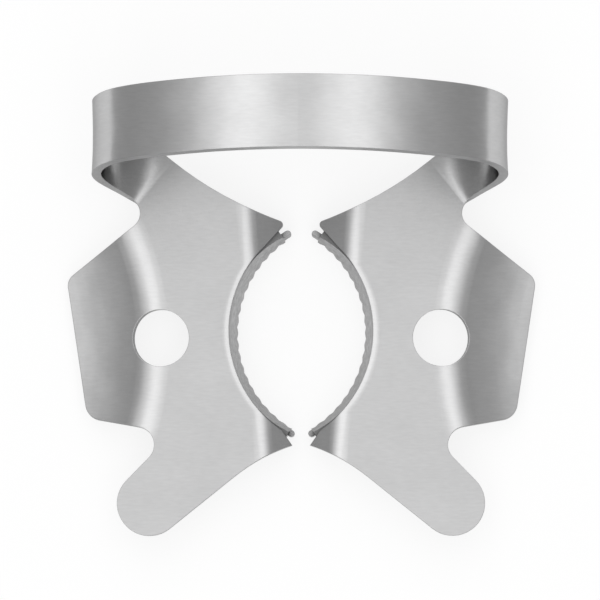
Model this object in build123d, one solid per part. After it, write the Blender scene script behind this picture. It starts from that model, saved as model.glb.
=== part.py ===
from build123d import *
from math import acos, asin, atan, atan2, cos, degrees, hypot, radians, sin, sqrt, tan
import os

# Rubber dam clamp, blanked and folded from one piece of spring sheet steel.
# All sizes are millimetres and degrees. The half on the +X side is modelled and mirrored.
# X runs across the tooth, +Y towards the bow and +Z up, away from the gum.
# While it is built, the plates' upper faces lie at height 0.

sheet = 0.5

# Forceps hole, tilted outwards with the wing that it straddles.
hole_diameter = 3.0
hole_centre = (7.37, 0.0)
hole_tilt = 9.0

# The two round notches that part the wing from the bow and from the tab.
bow_notch_centre = (9.32, 6.58)
bow_notch_radius = 0.84
tab_notch_centre = (8.68, -5.63)
tab_notch_radius = 0.95

# Wing outline: two edges run from the notches to the rounded outer corners.
wing_bow_corner = (12.38, 3.16)
wing_bow_corner_radius = 0.7
wing_tab_corner = (11.29, -4.15)
wing_tab_corner_radius = 0.95

# Wing fold: it starts along an arc that bulges into the plate between the notches,
# and past the fold the wing slowly flattens out again.
fold_bulge = 1.16
fold_radius = 4.2
fold_angle = 24.0
wing_lift_radius = 20.0
wing_lift_angle = 8.5

# Tab on the side away from the bow: a round end and a straight inner edge.
tab_end_centre = (7.97, -8.71)
tab_end_radius = 1.71
tab_inner_angle = 231.2
tab_straight = 4.3

# Plan of the jaw: an arc about a centre past the midline, and the plate's two corners.
jaw_centre = (-2.53, 0.37)
jaw_radius = 6.32
jaw_arc_low = -56.0
jaw_arc_high = 45.0
bow_corner = (0.82, 6.13)
bow_corner_radius = 0.2
tab_corner = (0.47, -5.63)
neck_edge_radius = 18.2

# The corners droop towards the other jaw, along a straight fold that is slightly turned.
droop_start = (3.37, 6.21)
droop_turn = 4.2
droop_radius = 2.4
droop_angle = 25.0

# Section of the jaw: a softly rolled shoulder, then a wall that leans in towards the tooth.
jaw_depth = 2.28
shoulder_radius = 1.5
shoulder_width = 0.36
wall_lean = 13.0
wall_root_radius = 0.3
wall_low = -59.0
wall_high = 55.0

# The foot of the wall runs on past it as a prong at each end.
prong_low = -60.0
prong_high = 58.0
prong_width = 0.36
prong_height = 0.9

# Notches that cut the foot of the wall into teeth.
serration_count = 20
serration_pitch = 6.0
serration_depth = 0.26

# Bow: an arched strip that leans away from the jaws. Its side is where it is widest,
# given by the place of the strip's near edge, the one next to the jaws.
bow_width = 3.95
bow_half_span = 10.92
bow_rise = 5.3
bow_shoulder_radius = 3.5
bow_lean = 11.5
bow_side_y = 8.39
bow_side_z = 3.0

# Bow root: the line across the neck where the strip leaves the flat plate, from a place
# on the bow notch to a point on the neck's far edge, and how far each edge of the strip
# keeps its first direction.
root_notch_angle = 150.0
root_far_point = (6.74, 9.32)
root_near_reach = 0.73
root_far_reach = 2.4

# Steps along each edge of the bow: up from the root, round the shoulder, over the crown.
root_steps = 6
shoulder_steps = 3
crown_steps = 4

# Room that cutting and trimming bodies reach past what they trim, as a length and an angle.
spare = 6.0
end_room = 10.0


def along(centre, radius, angle):
    """Point of a circle at an angle from the first axis."""
    return (
        centre[0] + radius * cos(radians(angle)),
        centre[1] + radius * sin(radians(angle)),
    )


def step(point, direction, length):
    """Point at a length from another, along a direction."""
    return (point[0] + length * direction[0], point[1] + length * direction[1])


def touch_angle(centre, radius, target, side):
    """Angle on a circle at which a line from the target touches it, on one side or the other."""
    across = (target[0] - centre[0], target[1] - centre[1])
    return degrees(atan2(across[1], across[0]) + side * acos(radius / hypot(*across)))


def closed_face(edges):
    """Flat face inside a closed run of edges."""
    return Face(Wire(edges))


def band_face(upper, lower):
    """Section of the bent sheet between the lines of its two faces."""
    start = Line(upper[0] @ 0, lower[0] @ 0)
    end = Line(upper[-1] @ 1, lower[-1] @ 1)
    return closed_face([*upper, *lower, start, end])


def upright_plane(origin, angle):
    """Upright plane whose first axis points at an angle in the plan."""
    direction = along((0, 0), 1, angle)
    normal = (direction[1], -direction[0], 0)
    return Plane(origin=(*origin, 0), x_dir=(*direction, 0), z_dir=normal)


def turned(section, centre, start, sweep):
    """Section in radius and height, revolved about an upright axis."""
    axis = Axis((*centre, 0), (0, 0, 1))
    return revolve(upright_plane(centre, start) * section, axis=axis, revolution_arc=sweep)


def plan_prism(face):
    """Upright prism on a plan outline, through the whole height of the plates."""
    return extrude(face, amount=spare, both=True)


# The fold line that the plate and the wing share.
fold_top = along(bow_notch_centre, bow_notch_radius, 180)
fold_end = along(tab_notch_centre, tab_notch_radius, 180)
fold_chord = hypot(fold_top[0] - fold_end[0], fold_top[1] - fold_end[1])
fold_middle = ((fold_top[0] + fold_end[0]) / 2, (fold_top[1] + fold_end[1]) / 2)
fold_side = (
    (fold_top[1] - fold_end[1]) / fold_chord,
    (fold_end[0] - fold_top[0]) / fold_chord,
)
fold_line_radius = ((fold_chord / 2) ** 2 + fold_bulge**2) / (2 * fold_bulge)
fold_line_centre = step(fold_middle, fold_side, fold_line_radius - fold_bulge)
fold_line = ThreePointArc(fold_top, step(fold_middle, fold_side, -fold_bulge), fold_end)

# The neck's far edge and the near end of the bow's root line.
neck_edge = RadiusArc(bow_corner, root_far_point, -neck_edge_radius)
root_near_point = along(bow_notch_centre, bow_notch_radius, root_notch_angle)


def plate_outline():
    """Plan of the flat plate and tab, from the bow's root line round to it again."""
    notch_sweep = 180 - root_notch_angle
    reach = tab_notch_radius + tab_end_radius
    tab_touch = touch_angle(tab_notch_centre, reach, tab_end_centre, -1) + 360
    tab_outer = along(tab_notch_centre, tab_notch_radius, tab_touch)
    tip_start = tab_touch - 180
    tip_sweep = tab_inner_angle - 360 - tip_start
    tab_inner = along(tab_end_centre, tab_end_radius, tab_inner_angle)
    heading = along((0, 0), 1, tab_inner_angle - 90)
    straight_end = step(tab_inner, heading, tab_straight)
    jaw_start = along(jaw_centre, jaw_radius, jaw_arc_low)
    jaw_end = along(jaw_centre, jaw_radius, jaw_arc_high)
    outline = closed_face(
        [
            CenterArc(bow_notch_centre, bow_notch_radius, root_notch_angle, notch_sweep),
            fold_line,
            CenterArc(tab_notch_centre, tab_notch_radius, 180, tab_touch - 180),
            Line(tab_outer, along(tab_end_centre, tab_end_radius, tip_start)),
            CenterArc(tab_end_centre, tab_end_radius, tip_start, tip_sweep),
            Line(tab_inner, straight_end),
            TangentArc(straight_end, tab_corner, tangent=heading),
            Line(tab_corner, jaw_start),
            CenterArc(jaw_centre, jaw_radius, jaw_arc_low, jaw_arc_high - jaw_arc_low),
            Line(jaw_end, bow_corner),
            neck_edge,
            Line(root_far_point, root_near_point),
        ]
    )
    corner = outline.vertices().sort_by_distance((*bow_corner, 0))[0]
    return outline.fillet_2d(bow_corner_radius, [corner])


def wing_outline():
    """Plan of the wing, from notch to notch, with room on the plate's side of the fold."""
    bow_touch = touch_angle(bow_notch_centre, bow_notch_radius, wing_bow_corner, -1) + 360
    tab_touch = touch_angle(tab_notch_centre, tab_notch_radius, wing_tab_corner, 1)
    bow_edge_start = along(bow_notch_centre, bow_notch_radius, bow_touch)
    tab_edge_end = along(tab_notch_centre, tab_notch_radius, tab_touch)
    inside = fold_top[0] - 2 * fold_bulge
    outline = closed_face(
        [
            CenterArc(bow_notch_centre, bow_notch_radius, 180, bow_touch - 180),
            Line(bow_edge_start, wing_bow_corner),
            Line(wing_bow_corner, wing_tab_corner),
            Line(wing_tab_corner, tab_edge_end),
            CenterArc(tab_notch_centre, tab_notch_radius, tab_touch, 180 - tab_touch),
            Line(fold_end, (inside, fold_end[1])),
            Line((inside, fold_end[1]), (inside, fold_top[1])),
            Line((inside, fold_top[1]), fold_top),
        ]
    )
    bow_side = outline.vertices().sort_by_distance((*wing_bow_corner, 0))[0]
    outline = outline.fillet_2d(wing_bow_corner_radius, [bow_side])
    tab_side = outline.vertices().sort_by_distance((*wing_tab_corner, 0))[0]
    return outline.fillet_2d(wing_tab_corner_radius, [tab_side])


def droop_line(depth):
    """Line through the plate's section, at a depth below its upper face."""
    bend = (0, -droop_radius)
    bend_end = along(bend, droop_radius - depth, 90 - droop_angle)
    return [
        Line((-2 * spare, -depth), (0, -depth)),
        CenterArc(bend, droop_radius - depth, 90, -droop_angle),
        Line(bend_end, along(bend_end, spare, -droop_angle)),
    ]


def droop_prism(face):
    """Section across the drooping plate, carried along its whole length."""
    plane = upright_plane(droop_start, 180 - droop_turn)
    return extrude(plane * face, amount=3 * spare, both=True)


def below_plate():
    """Everything under the middle of the plate's sheet."""
    middle = droop_line(sheet / 2)
    start = middle[0] @ 0
    end = middle[-1] @ 1
    low_start = (start.X, -spare)
    low_end = (end.X, -spare)
    closing = [Line(start, low_start), Line(low_start, low_end), Line(low_end, end)]
    return droop_prism(closed_face([*middle, *closing]))


def wing_line(depth):
    """Line through the wing's section, by distance from the fold line's centre."""
    fold = (fold_line_radius, -fold_radius)
    fold_foot = along(fold, fold_radius, 90 + fold_angle)
    lift = along(fold_foot, wing_lift_radius, 90 + fold_angle)
    lift_start = fold_angle - 90
    tip = along(lift, wing_lift_radius + depth, lift_start - wing_lift_angle)
    slope = fold_angle - wing_lift_angle
    return [
        CenterArc(fold, fold_radius - depth, 90, fold_angle),
        CenterArc(lift, wing_lift_radius + depth, lift_start, -wing_lift_angle),
        Line(tip, along(tip, spare / 2, 180 + slope)),
    ]


# The jaw's wall in section: its way down and through, and the corners of its foot.
wall_down = (-sin(radians(wall_lean)), -cos(radians(wall_lean)))
wall_through = (cos(radians(wall_lean)), -sin(radians(wall_lean)))
wall_top = (jaw_radius, -sheet / 2)
wall_height = (jaw_depth + wall_top[1] + sheet * wall_through[1]) / cos(radians(wall_lean))
wall_foot = step(wall_top, wall_down, wall_height)
wall_back_foot = step(wall_foot, wall_through, sheet)


def jaw_section():
    """Wall in radius and height, rounded into the plate's underside at its back."""
    back_top = step(wall_top, wall_through, sheet)
    root_height = -sheet - wall_root_radius
    root_reach = wall_root_radius + (root_height - back_top[1]) * sin(radians(wall_lean))
    root = (back_top[0] + root_reach / cos(radians(wall_lean)), root_height)
    root_sweep = 90 - wall_lean
    return closed_face(
        [
            Line(wall_top, wall_foot),
            Line(wall_foot, wall_back_foot),
            Line(wall_back_foot, along(root, wall_root_radius, 90 + root_sweep)),
            CenterArc(root, wall_root_radius, 90, root_sweep),
            Line((root[0], -sheet), (root[0], wall_top[1])),
            Line((root[0], wall_top[1]), wall_top),
        ]
    )


def shoulder_section():
    """What rolling the plate's edge down along the jaw takes away."""
    centre = (jaw_radius + shoulder_width, -shoulder_radius)
    roll = degrees(asin(shoulder_width / shoulder_radius))
    start = along(centre, shoulder_radius, 90)
    end = along(centre, shoulder_radius, 90 + roll)
    inner = jaw_radius - shoulder_width
    return closed_face(
        [
            CenterArc(centre, shoulder_radius, 90, roll),
            Line(end, (inner, end[1])),
            Line((inner, end[1]), (inner, shoulder_width)),
            Line((inner, shoulder_width), (start[0], shoulder_width)),
            Line((start[0], shoulder_width), start),
        ]
    )


def serration(angle):
    """Square bar that notches the wall's foot with one of its corners."""
    middle = step(wall_foot, wall_through, sheet / 2)
    place = upright_plane(jaw_centre, angle)
    origin = place.from_local_coords((*middle, 0))
    towards = place.from_local_coords((*step(middle, wall_through, 1), 0)) - origin
    side = sqrt(2) * serration_depth
    bar = Rot(0, 0, 45) * Box(side, side, 2 * sheet)
    return Plane(origin=origin, x_dir=place.z_dir, z_dir=towards) * bar


def jaw():
    """Leaning wall, prongs and teeth of one jaw."""
    prong_line = CenterArc(
        jaw_centre, jaw_radius - prong_width / 2, prong_low, prong_high - prong_low
    )
    prong_band = extrude(SlotArc(prong_line, prong_width).face(), amount=-jaw_depth)
    foot_band = Pos(0, 0, prong_height - jaw_depth) * prong_band
    body = turned(
        jaw_section(), jaw_centre, wall_low - end_room, wall_high - wall_low + 2 * end_room
    )
    block = Pos(jaw_radius, 0) * Rectangle(4 * sheet, 2 * spare)
    for start in (wall_low - 2 * end_room, wall_high):
        body -= turned(block, jaw_centre, start, 2 * end_room) - foot_band
    first = -serration_pitch * (serration_count - 1) / 2
    for number in range(serration_count):
        body -= serration(first + number * serration_pitch)
    return body & below_plate()


def bezier(start, knee, end, part):
    """Point of a curve that leaves its start towards the knee."""
    return tuple(
        (1 - part) ** 2 * a + 2 * part * (1 - part) * b + part**2 * c
        for a, b, c in zip(start, knee, end)
    )


def bow_rail(root, knee, side_y, side_z):
    """Points of one edge of the bow's inner face, from the root line up to the midline."""
    lean = tan(radians(bow_lean))
    half = bow_half_span - sheet
    foot = (half, side_y - side_z * lean)
    run = hypot(foot[0] - root[0], foot[1] - root[1])
    points = []
    for number in range(root_steps):
        turn = atan(run / side_z * tan(radians(90 * number / root_steps)))
        x, y = bezier(root, knee, foot, sin(turn))
        rise = side_z * (1 - cos(turn))
        points.append(Vector(x, y + rise * lean, rise))
    shoulder = bow_shoulder_radius - sheet
    rise = bow_rise - sheet
    crown = ((half - shoulder) ** 2 + rise**2 - shoulder**2) / (2 * (rise - shoulder))
    meet = degrees(asin((half - shoulder) / (crown - shoulder)))
    arch = []
    for number in range(shoulder_steps):
        arch.append(along((half - shoulder, 0), shoulder, number * (90 - meet) / shoulder_steps))
    for number in range(crown_steps + 1):
        arch.append(along((0, rise - crown), crown, 90 - meet + number * meet / crown_steps))
    for x, height in arch:
        up = height * cos(radians(bow_lean))
        points.append(Vector(x, side_y + height * sin(radians(bow_lean)), side_z + up))
    return points


def rail(points, direction):
    """Smooth edge of the bow's +X half, from its root up to the midline."""
    directions = [(*direction, 0), (-1, 0, 0)]
    return Spline(*points, tangents=directions, tangent_scalars=[1, 1])


def outer_points(edge, points, rulings):
    """Points the sheet's thickness outside those of an edge of the bow's inner face."""
    normals = [edge.tangent_at(point).cross(line) for point, line in zip(points, rulings)]
    return [point - normal.normalized() * sheet for point, normal in zip(points, normals)]


def end_face(corners):
    """Flat face across an end of the strip."""
    near_inner, far_inner, near_outer, far_outer = corners
    return Face(Wire.make_polygon([near_inner, far_inner, far_outer, near_outer]))


def half_bow():
    """The arched strip from its root to the midline: four bent faces and two flat ends."""
    near_direction = along((0, 0), 1, root_notch_angle - 90)
    far_tangent = neck_edge % 1
    far_direction = (far_tangent.X, far_tangent.Y)
    near_knee = step(root_near_point, near_direction, root_near_reach)
    far_knee = step(root_far_point, far_direction, root_far_reach)
    far_side_y = bow_side_y + bow_width * cos(radians(bow_lean))
    far_side_z = bow_side_z - bow_width * sin(radians(bow_lean))
    near_points = bow_rail(root_near_point, near_knee, bow_side_y, bow_side_z)
    far_points = bow_rail(root_far_point, far_knee, far_side_y, far_side_z)
    rulings = [far - near for near, far in zip(near_points, far_points)]
    near_inner = rail(near_points, near_direction)
    far_inner = rail(far_points, far_direction)
    near_outer = rail(outer_points(near_inner, near_points, rulings), near_direction)
    far_outer = rail(outer_points(far_inner, far_points, rulings), far_direction)
    edges = [near_inner, far_inner, near_outer, far_outer]
    faces = [
        Face.make_surface_from_curves(near_inner, far_inner),
        Face.make_surface_from_curves(near_outer, far_outer),
        Face.make_surface_from_curves(near_inner, near_outer),
        Face.make_surface_from_curves(far_inner, far_outer),
        end_face([edge @ 0 for edge in edges]),
        end_face([edge @ 1 for edge in edges]),
    ]
    return Solid(Shell(faces))


def half_clamp():
    """Everything on the +X side: plate, wing, tab, jaw, half of the bow and the hole."""
    sheet_section = band_face(droop_line(0), droop_line(sheet))
    plate = droop_prism(sheet_section) & plan_prism(plate_outline())
    wing_section = band_face(wing_line(0), wing_line(sheet))
    wing = turned(wing_section, fold_line_centre, 0, 360) & plan_prism(wing_outline())
    shoulder = turned(shoulder_section(), jaw_centre, 90, 360)
    hole_axis = along((0, 0), 1, 90 - hole_tilt)
    hole_place = Plane(
        origin=(*hole_centre, -sheet / 2), z_dir=(hole_axis[0], 0, hole_axis[1])
    )
    hole = hole_place * Cylinder(hole_diameter / 2, spare)
    return plate + wing + jaw() + half_bow() - shoulder - hole


def clamp():
    """The whole clamp, standing on its jaws with the middle of its box over the origin."""
    half = half_clamp()
    whole = half + half.mirror(Plane.YZ)
    lean = radians(bow_lean)
    back = bow_side_y + bow_width * cos(lean) + bow_rise * sin(lean)
    front = tab_end_centre[1] - tab_end_radius
    return Pos(0, -(back + front) / 2, jaw_depth) * whole


os.makedirs("parts", exist_ok=True)
export_step(clamp(), "parts/clamp.step")
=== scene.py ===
import math

import bpy
from mathutils import Matrix, Vector

# Scene for a rubber dam clamp of brushed spring steel, seen from above on a pale floor.
# Lengths are in metres and angles in degrees.

# Share of the light that the steel mirrors when it is looked at straight on.
STEEL = (0.56, 0.56, 0.562, 1.0)

# Tint of what it mirrors at a very flat angle. Below one, steep faces stay duller.
STEEL_GRAZING = (0.52, 0.52, 0.52, 1.0)
ROUGHNESS = 0.3

# The brushing stretches each reflection along the clamp's Y axis.
ANISOTROPY = 0.85

# Sharp edges look broken by this radius.
EDGE_ROUNDING = 0.00006

# Samples for the rounded edges and the painted shade in recesses. More of them only cost time
# here.
LOCAL_SAMPLES = 4

# Grain: scratches, paler and darker patches, and a gentle waviness of the sheet. A scale is in
# waves per metre along X, Y and Z, a detail counts a noise's finer layers, and a depth is in
# metres.
SCRATCH_SCALE = (1800.0, 9000.0, 1800.0)
SCRATCH_DETAIL = 2.0
SCRATCH_DEPTH = 0.0000015
PATCH_SCALE = (300.0, 500.0, 300.0)
PATCH_DETAIL = 1.0
WAVE_SCALE = (350.0, 350.0, 350.0)
WAVE_DETAIL = 1.0
WAVE_DEPTH = 0.00004

# How much the patches count beside the scratches, and how far both change the steel's shade.
PATCH_SHARE = 0.6
SHADE_SPREAD = 0.13

# Painted shade: the steel's colour darkens in recesses, by ambient occlusion. How far a recess
# reaches, and how fast the painted shade darkens.
PAINTED_SHADE_REACH = 0.006
PAINTED_SHADE_POWER = 1.8

# The jaws' walls and teeth are ground and not brushed; only their colour differs here: mottled
# spots, on a painted lift of light on these steep walls. They are the steel that is lower than
# JAW_TOP, nearer to the midline than JAW_SIDE, nearer along Y to the jaws' middle than
# JAW_HALF_LENGTH, and so steep that the upward part of its normal is under JAW_STEEPNESS.
JAW_TOP = 0.00178
JAW_SIDE = 0.0055
JAW_MIDDLE_Y = -0.00108
JAW_HALF_LENGTH = 0.0054
JAW_STEEPNESS = 0.6

# Painted lift of light on the jaws' steep walls, how far the ground steel's spots vary, and the
# spots' noise.
JAW_PAINTED_LIGHT = 0.14
JAW_SPREAD = 0.5
JAW_SCALE = (4000.0, 4000.0, 4000.0)
JAW_DETAIL = 3.0

# Camera: a long lens nearly straight above, a little towards the tabs and to the right.
AIM = Vector((-0.00005, 0.00055, 0.0021))
CAMERA_AZIMUTH = 15.0
CAMERA_ELEVATION = 86.0
CAMERA_DISTANCE = 0.6
PICTURE_WIDTH = 0.03158
SENSOR = 36.0
CLIP_START = 0.01
CLIP_END = 10.0

# Brightness of the studio's dome by angle from straight up, from the left horizon to the right
# one. It stays the same along Y, so the dome is made of long soft strips beside the clamp.
DOME = [
    (-90, 0.59),
    (-75, 0.54),
    (-62, 0.51),
    (-50, 0.57),
    (-44, 0.63),
    (-39, 0.93),
    (-34, 1.22),
    (-28, 1.60),
    (-21, 2.03),
    (-15, 1.93),
    (-8, 1.50),
    (0, 1.23),
    (8, 1.46),
    (16, 1.96),
    (22, 1.84),
    (28, 1.38),
    (34, 0.96),
    (40, 0.67),
    (47, 0.56),
    (62, 0.51),
    (75, 0.53),
    (90, 0.59),
]
DOME_SPAN = 180.0

# The curve that holds the dome runs from zero to one, and one stands for this brightness.
DOME_TOP = 2.5

# The floor's own white where it is seen, on top of the light that falls on it. The floor lies
# a hair below the clamp, so that no two faces share a plane.
FLOOR_WHITE = 0.80
FLOOR_COLOUR = (0.21, 0.21, 0.21, 1.0)
FLOOR_SIZE = 4.0
FLOOR_HEIGHT = -0.00001


def direction(azimuth, elevation):
    """Unit vector from the aim, by azimuth from the tabs' side and height above the horizon."""
    a = math.radians(azimuth)
    e = math.radians(elevation)
    return Vector((math.sin(a) * math.cos(e), -math.cos(a) * math.cos(e), math.sin(e)))


def new_material(name):
    """Material without nodes, and its tree."""
    material = bpy.data.materials.new(name)
    material.use_nodes = True
    material.node_tree.nodes.clear()
    return material, material.node_tree


def add(tree, kind, **values):
    """New node of this kind, with these settings."""
    node = tree.nodes.new(kind)
    for name, value in values.items():
        setattr(node, name, value)
    return node


def calculate(tree, operation, *values):
    """Math on numbers and on other nodes' outputs, in the order of the node's inputs."""
    node = add(tree, "ShaderNodeMath", operation=operation)
    for socket, value in zip(node.inputs, values):
        if isinstance(value, bpy.types.NodeSocket):
            tree.links.new(value, socket)
        else:
            socket.default_value = value
    return node.outputs["Value"]


def split(tree, vector):
    """Node whose outputs are the X, Y and Z of a vector."""
    parts = add(tree, "ShaderNodeSeparateXYZ")
    tree.links.new(vector, parts.inputs["Vector"])
    return parts


def noise(tree, scale, detail):
    """Noise in the clamp's own coordinates."""
    place = add(tree, "ShaderNodeTexCoord")
    stretch = add(tree, "ShaderNodeMapping")
    stretch.inputs["Scale"].default_value = scale
    pattern = add(tree, "ShaderNodeTexNoise")
    pattern.inputs["Scale"].default_value = 1.0
    pattern.inputs["Detail"].default_value = detail
    tree.links.new(place.outputs["Object"], stretch.inputs["Vector"])
    tree.links.new(stretch.outputs["Vector"], pattern.inputs["Vector"])
    return pattern.outputs["Fac"]


def bump(tree, height, depth, normal):
    """Relief of this depth on top of another normal."""
    relief = add(tree, "ShaderNodeBump")
    relief.inputs["Distance"].default_value = depth
    tree.links.new(height, relief.inputs["Height"])
    tree.links.new(normal, relief.inputs["Normal"])
    return relief.outputs["Normal"]


def jaw_mask(tree):
    """One on the jaws' walls and teeth, and zero elsewhere."""
    at = split(tree, add(tree, "ShaderNodeTexCoord").outputs["Object"])
    slope = split(tree, add(tree, "ShaderNodeNewGeometry").outputs["Normal"])
    from_middle = calculate(tree, "SUBTRACT", at.outputs["Y"], JAW_MIDDLE_Y)
    limits = [
        (calculate(tree, "ABSOLUTE", at.outputs["X"]), JAW_SIDE),
        (calculate(tree, "ABSOLUTE", from_middle), JAW_HALF_LENGTH),
        (slope.outputs["Z"], JAW_STEEPNESS),
    ]
    mask = calculate(tree, "LESS_THAN", at.outputs["Z"], JAW_TOP)
    for value, limit in limits:
        below = calculate(tree, "LESS_THAN", value, limit)
        mask = calculate(tree, "MULTIPLY", mask, below)
    return mask


def jaw_spots_and_painted_light(tree):
    """How much paler or darker than the rest the ground jaws are, from spot to spot: mottled
    spots around a painted lift of light.
    """
    spots = add(tree, "ShaderNodeMapRange", clamp=False)
    spots.inputs["To Min"].default_value = JAW_PAINTED_LIGHT - JAW_SPREAD
    spots.inputs["To Max"].default_value = JAW_PAINTED_LIGHT + JAW_SPREAD
    tree.links.new(noise(tree, JAW_SCALE, JAW_DETAIL), spots.inputs["Value"])
    return spots.outputs["Result"]


def grain_level(tree, scratches):
    """Shade of the brushed steel around one, from its scratches and patches."""
    patches = noise(tree, PATCH_SCALE, PATCH_DETAIL)
    mixed = calculate(tree, "MULTIPLY_ADD", patches, PATCH_SHARE, scratches)
    level = add(tree, "ShaderNodeMapRange", clamp=False)
    level.inputs["From Max"].default_value = 1.0 + PATCH_SHARE
    level.inputs["To Min"].default_value = 1.0 - SHADE_SPREAD
    level.inputs["To Max"].default_value = 1.0 + SHADE_SPREAD
    tree.links.new(mixed, level.inputs["Value"])
    return level.outputs["Result"]


def painted_recess_shade(tree):
    """Painted shade: one on open steel, and less in its recesses."""
    recess = add(
        tree, "ShaderNodeAmbientOcclusion", samples=LOCAL_SAMPLES, only_local=True
    )
    recess.inputs["Distance"].default_value = PAINTED_SHADE_REACH
    return calculate(tree, "POWER", recess.outputs["AO"], PAINTED_SHADE_POWER)


def steel_colour(tree, scratches):
    """Steel with its grain, the spots of its ground jaws on a painted lift of light, and painted
    shade in its recesses.
    """
    # Painted light: the jaws' steep walls are lifted paler, with the ground steel's mottled
    # spots, on top of the grain.
    grain_spots_and_painted_light = calculate(
        tree, "MULTIPLY_ADD", jaw_mask(tree), jaw_spots_and_painted_light(tree), grain_level(tree, scratches)
    )
    shade = add(tree, "ShaderNodeHueSaturation")
    shade.inputs["Color"].default_value = STEEL
    # Painted shade: the colour is darkened where recesses hide the steel from the light.
    grain_with_painted_shade = calculate(tree, "MULTIPLY", grain_spots_and_painted_light, painted_recess_shade(tree))
    tree.links.new(grain_with_painted_shade, shade.inputs["Value"])
    return shade.outputs["Color"]


def steel_normal(tree, scratches):
    """Normal of scratched and slightly wavy sheet with broken edges."""
    rounded = add(tree, "ShaderNodeBevel", samples=LOCAL_SAMPLES)
    rounded.inputs["Radius"].default_value = EDGE_ROUNDING
    waves = noise(tree, WAVE_SCALE, WAVE_DETAIL)
    wavy = bump(tree, waves, WAVE_DEPTH, rounded.outputs["Normal"])
    return bump(tree, scratches, SCRATCH_DEPTH, wavy)


def steel_material():
    """Brushed steel, with fine scratches that run across the clamp."""
    material, tree = new_material("brushed_steel")
    output = add(tree, "ShaderNodeOutputMaterial")
    shader = add(tree, "ShaderNodeBsdfPrincipled")
    shader.inputs["Metallic"].default_value = 1.0
    shader.inputs["Specular Tint"].default_value = STEEL_GRAZING
    shader.inputs["Roughness"].default_value = ROUGHNESS
    shader.inputs["Anisotropic"].default_value = ANISOTROPY
    along = add(tree, "ShaderNodeCombineXYZ")
    along.inputs["Y"].default_value = 1.0
    scratches = noise(tree, SCRATCH_SCALE, SCRATCH_DETAIL)
    tree.links.new(along.outputs["Vector"], shader.inputs["Tangent"])
    tree.links.new(steel_colour(tree, scratches), shader.inputs["Base Color"])
    tree.links.new(steel_normal(tree, scratches), shader.inputs["Normal"])
    tree.links.new(shader.outputs["BSDF"], output.inputs["Surface"])
    return material


def floor_material():
    """Floor that is lit by the studio and adds its own white where it is seen."""
    material, tree = new_material("floor_white")
    output = add(tree, "ShaderNodeOutputMaterial")
    lit = add(tree, "ShaderNodeBsdfDiffuse")
    lit.inputs["Color"].default_value = FLOOR_COLOUR
    path = add(tree, "ShaderNodeLightPath").outputs
    seen = calculate(tree, "MAXIMUM", path["Is Camera Ray"], path["Is Glossy Ray"])
    seen_too = calculate(tree, "MAXIMUM", seen, path["Is Transmission Ray"])
    strength = calculate(tree, "MULTIPLY", seen_too, FLOOR_WHITE)
    white = add(tree, "ShaderNodeEmission")
    both = add(tree, "ShaderNodeAddShader")
    tree.links.new(strength, white.inputs["Strength"])
    tree.links.new(lit.outputs["BSDF"], both.inputs[0])
    tree.links.new(white.outputs["Emission"], both.inputs[1])
    tree.links.new(both.outputs["Shader"], output.inputs["Surface"])
    return material


def make_floor():
    """Wide white floor under the clamp."""
    bpy.ops.mesh.primitive_plane_add(size=FLOOR_SIZE, location=(0.0, 0.0, FLOOR_HEIGHT))
    floor = bpy.context.object
    floor.name = "floor"
    floor.data.materials.append(floor_material())


def dome_level(tree, angle):
    """The dome's brightness at an angle from straight up, in radians."""
    part = add(tree, "ShaderNodeMapRange")
    part.inputs["From Min"].default_value = -math.radians(DOME_SPAN / 2.0)
    part.inputs["From Max"].default_value = math.radians(DOME_SPAN / 2.0)
    tree.links.new(angle, part.inputs["Value"])
    level = add(tree, "ShaderNodeFloatCurve")
    tree.links.new(part.outputs["Result"], level.inputs["Value"])
    curve = level.mapping.curves[0]
    spots = [(degrees / DOME_SPAN + 0.5, value / DOME_TOP) for degrees, value in DOME]
    while len(curve.points) < len(spots):
        curve.points.new(0.5, 0.5)
    for point, spot in zip(curve.points, spots):
        point.location = spot
        point.handle_type = "AUTO_CLAMPED"
    level.mapping.update()
    return calculate(tree, "MULTIPLY", level.outputs["Value"], DOME_TOP)


def make_world():
    """Studio dome, whose brightness follows the angle from straight up to the left and right."""
    world = bpy.data.worlds.new("studio")
    bpy.context.scene.world = world
    world.use_nodes = True
    tree = world.node_tree
    tree.nodes.clear()
    output = add(tree, "ShaderNodeOutputWorld")
    sky = add(tree, "ShaderNodeBackground")
    towards = split(tree, add(tree, "ShaderNodeTexCoord").outputs["Generated"]).outputs
    angle = calculate(tree, "ARCTAN2", towards["X"], towards["Z"])
    tree.links.new(dome_level(tree, angle), sky.inputs["Strength"])
    tree.links.new(sky.outputs["Background"], output.inputs["Surface"])


def make_camera():
    """Camera whose picture has the clamp's Y axis pointing up."""
    data = bpy.data.cameras.new("camera")
    data.sensor_width = SENSOR
    data.lens = SENSOR * CAMERA_DISTANCE / PICTURE_WIDTH
    data.clip_start = CLIP_START
    data.clip_end = CLIP_END
    camera = bpy.data.objects.new("camera", data)
    bpy.context.collection.objects.link(camera)
    towards = direction(CAMERA_AZIMUTH, CAMERA_ELEVATION)
    right = Vector((0.0, 1.0, 0.0)).cross(towards).normalized()
    up = towards.cross(right)
    camera.location = AIM + towards * CAMERA_DISTANCE
    camera.rotation_mode = "QUATERNION"
    camera.rotation_quaternion = Matrix((right, up, towards)).transposed().to_quaternion()
    bpy.context.scene.camera = camera


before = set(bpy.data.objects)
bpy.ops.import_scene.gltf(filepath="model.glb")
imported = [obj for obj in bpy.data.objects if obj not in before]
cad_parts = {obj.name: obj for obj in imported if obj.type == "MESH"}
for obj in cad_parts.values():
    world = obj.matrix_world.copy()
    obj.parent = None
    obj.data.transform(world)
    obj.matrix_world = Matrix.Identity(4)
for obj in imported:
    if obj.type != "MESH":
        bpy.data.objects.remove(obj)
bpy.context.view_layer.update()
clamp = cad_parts["clamp"]
clamp.data.materials.clear()
clamp.data.materials.append(steel_material())
make_floor()
make_world()
make_camera()
bpy.context.scene.view_settings.view_transform = "Standard"
